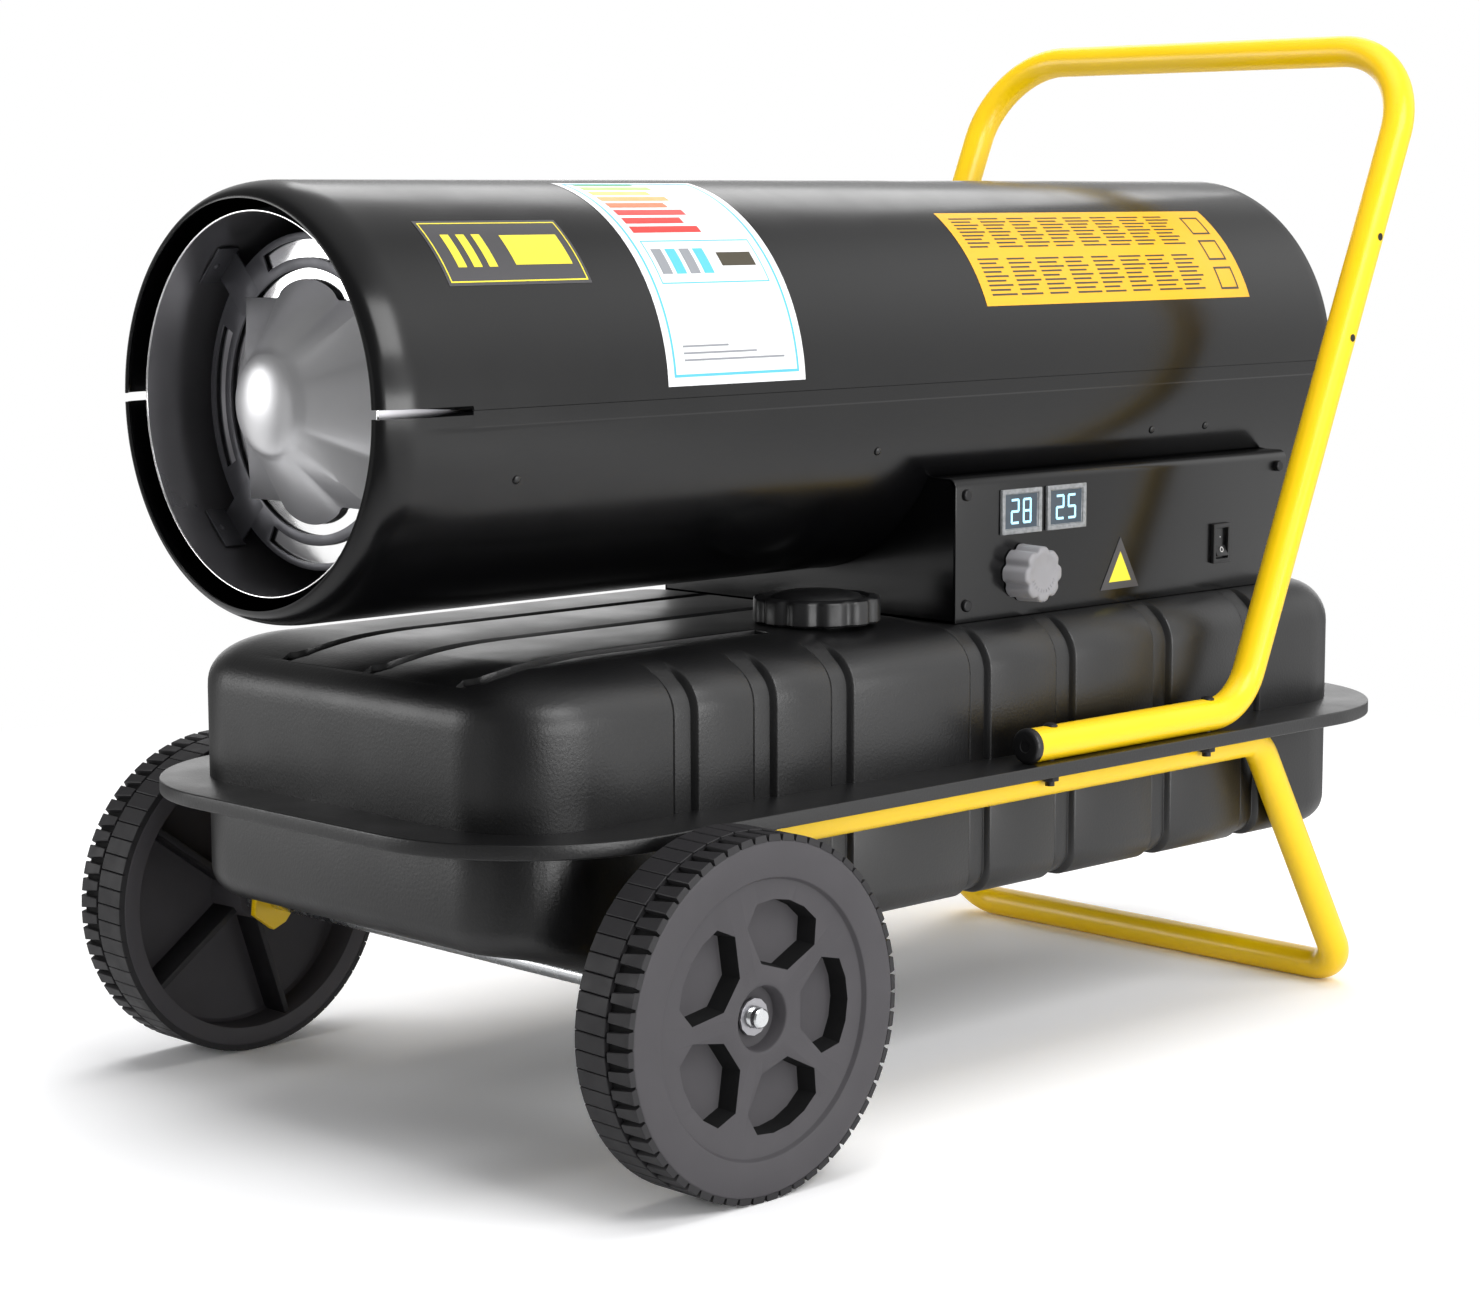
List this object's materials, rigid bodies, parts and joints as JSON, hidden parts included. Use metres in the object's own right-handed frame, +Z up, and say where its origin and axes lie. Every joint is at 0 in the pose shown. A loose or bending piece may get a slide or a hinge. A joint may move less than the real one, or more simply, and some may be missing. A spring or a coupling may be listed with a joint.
{
  "type": "forced air heater",
  "caption": "Portable forced air heater: a barrel with burner and fan on a flanged fuel tank, with a control box, tubular handle, stand and wheels.",
  "frame": {"origin": "middle of the footprint, on the floor", "axes": "+Z up, +X from the hot-air outlet to the rear, controls facing -Y"},
  "size_m": [0.861, 0.512, 0.6536],
  "materials": {
    "gloss_black_coat": "gloss black powder coat on sheet steel",
    "satin_black_coat": "satin black coat with a fine grain",
    "yellow_coat": "gloss yellow powder coat on steel pipe",
    "wheel_plastic": "moulded dark grey plastic",
    "black_plastic": "moulded black plastic",
    "knob_plastic": "moulded mid grey plastic",
    "display_window": "tinted window with light blue digits",
    "bare_steel": "bright pressed steel",
    "heat_dark_steel": "dark heat-proof coating",
    "zinc_plate": "bright zinc plate",
    "brass_and_copper": "plain drawn tube",
    "black_rubber": "matt black rubber",
    "ceramic": "glazed ceramic",
    "circuit_board": "green lacquered board"
  },
  "bodies": {
    "frame": {"upper_shell": "gloss_black_coat", "lower_shell": "gloss_black_coat", "control_box": "gloss_black_coat", "front_panel": "gloss_black_coat", "tank_upper_half": "satin_black_coat", "tank_lower_half": "satin_black_coat", "rear_guard": "satin_black_coat", "handle": "yellow_coat", "stand": "yellow_coat", "handle_cap_left": "black_plastic", "handle_cap_right": "black_plastic", "panel_screw_1": "black_plastic", "panel_screw_2": "black_plastic", "panel_screw_3": "black_plastic", "panel_screw_4": "black_plastic", "switch_housing": "black_plastic", "thermostat_body": "black_plastic", "ignition_transformer": "black_plastic", "cable_gland": "black_plastic", "flame_sensor": "black_plastic", "display_left": "display_window", "display_right": "display_window", "combustion_chamber": "bare_steel", "flame_spreader": "bare_steel", "burner_head": "bare_steel", "air_pump": "bare_steel", "outlet_funnel": "heat_dark_steel", "spreader_bracket": "heat_dark_steel", "motor": "heat_dark_steel", "motor_bracket": "heat_dark_steel", "chamber_bracket": "heat_dark_steel", "retaining_clip_left": "heat_dark_steel", "retaining_clip_right": "heat_dark_steel", "axle": "zinc_plate", "axle_spacer_left": "zinc_plate", "axle_spacer_right": "zinc_plate", "frame_bolt_1": "zinc_plate", "frame_bolt_2": "zinc_plate", "frame_bolt_3": "zinc_plate", "frame_bolt_4": "zinc_plate", "frame_nut_1": "zinc_plate", "frame_nut_2": "zinc_plate", "frame_nut_3": "zinc_plate", "frame_nut_4": "zinc_plate", "filler_strainer": "zinc_plate", "nozzle_plate": "zinc_plate", "fuel_nozzle": "brass_and_copper", "fuel_line": "brass_and_copper", "air_line": "black_rubber", "ignition_electrode": "ceramic", "control_board": "circuit_board"},
    "wheel_left_body": {"wheel_left": "wheel_plastic"},
    "wheel_right_body": {"wheel_right": "wheel_plastic"},
    "fan_rotor": {"fan": "satin_black_coat", "fan_shaft": "bare_steel"},
    "cap_carrier": {"cap_seal": "black_rubber"},
    "cap_turner": {"fuel_cap": "black_plastic"},
    "knob_body": {"control_knob": "knob_plastic", "thermostat_shaft": "zinc_plate"},
    "rocker_body": {"switch_rocker": "black_plastic"}
  },
  "joints": [
    {"name": "wheel_left_spin", "type": "hinge", "parent": "frame", "child": "wheel_left_body", "pos_m": [-0.2775, -0.2345, 0.102], "axis": [0, 1, 0], "continuous": true},
    {"name": "wheel_right_spin", "type": "hinge", "parent": "frame", "child": "wheel_right_body", "pos_m": [-0.2775, 0.2345, 0.102], "axis": [0, 1, 0], "continuous": true},
    {"name": "fan_spin", "type": "hinge", "parent": "frame", "child": "fan_rotor", "pos_m": [0.3125, 0, 0.431], "axis": [1, 0, 0], "continuous": true},
    {"name": "cap_lift", "type": "slide", "parent": "frame", "child": "cap_carrier", "axis": [0, 0, 1], "range_m": [0, 0.01]},
    {"name": "cap_turn", "type": "hinge", "parent": "cap_carrier", "child": "cap_turner", "pos_m": [-0.0725, -0.092, 0.295], "axis": [0, 0, 1], "range_deg": [0, 900]},
    {"name": "knob_turn", "type": "hinge", "parent": "frame", "child": "knob_body", "pos_m": [0.0705, -0.142, 0.309], "axis": [0, 1, 0], "range_deg": [0, 270]},
    {"name": "rocker_tilt", "type": "hinge", "parent": "frame", "child": "rocker_body", "pos_m": [0.275, -0.129, 0.3125], "axis": [1, 0, 0], "range_deg": [0, 20]}
  ],
  "couplings": [
    {"joint": "cap_lift", "follows": "cap_turn", "m_per_rad": 0.0006366}
  ]
}
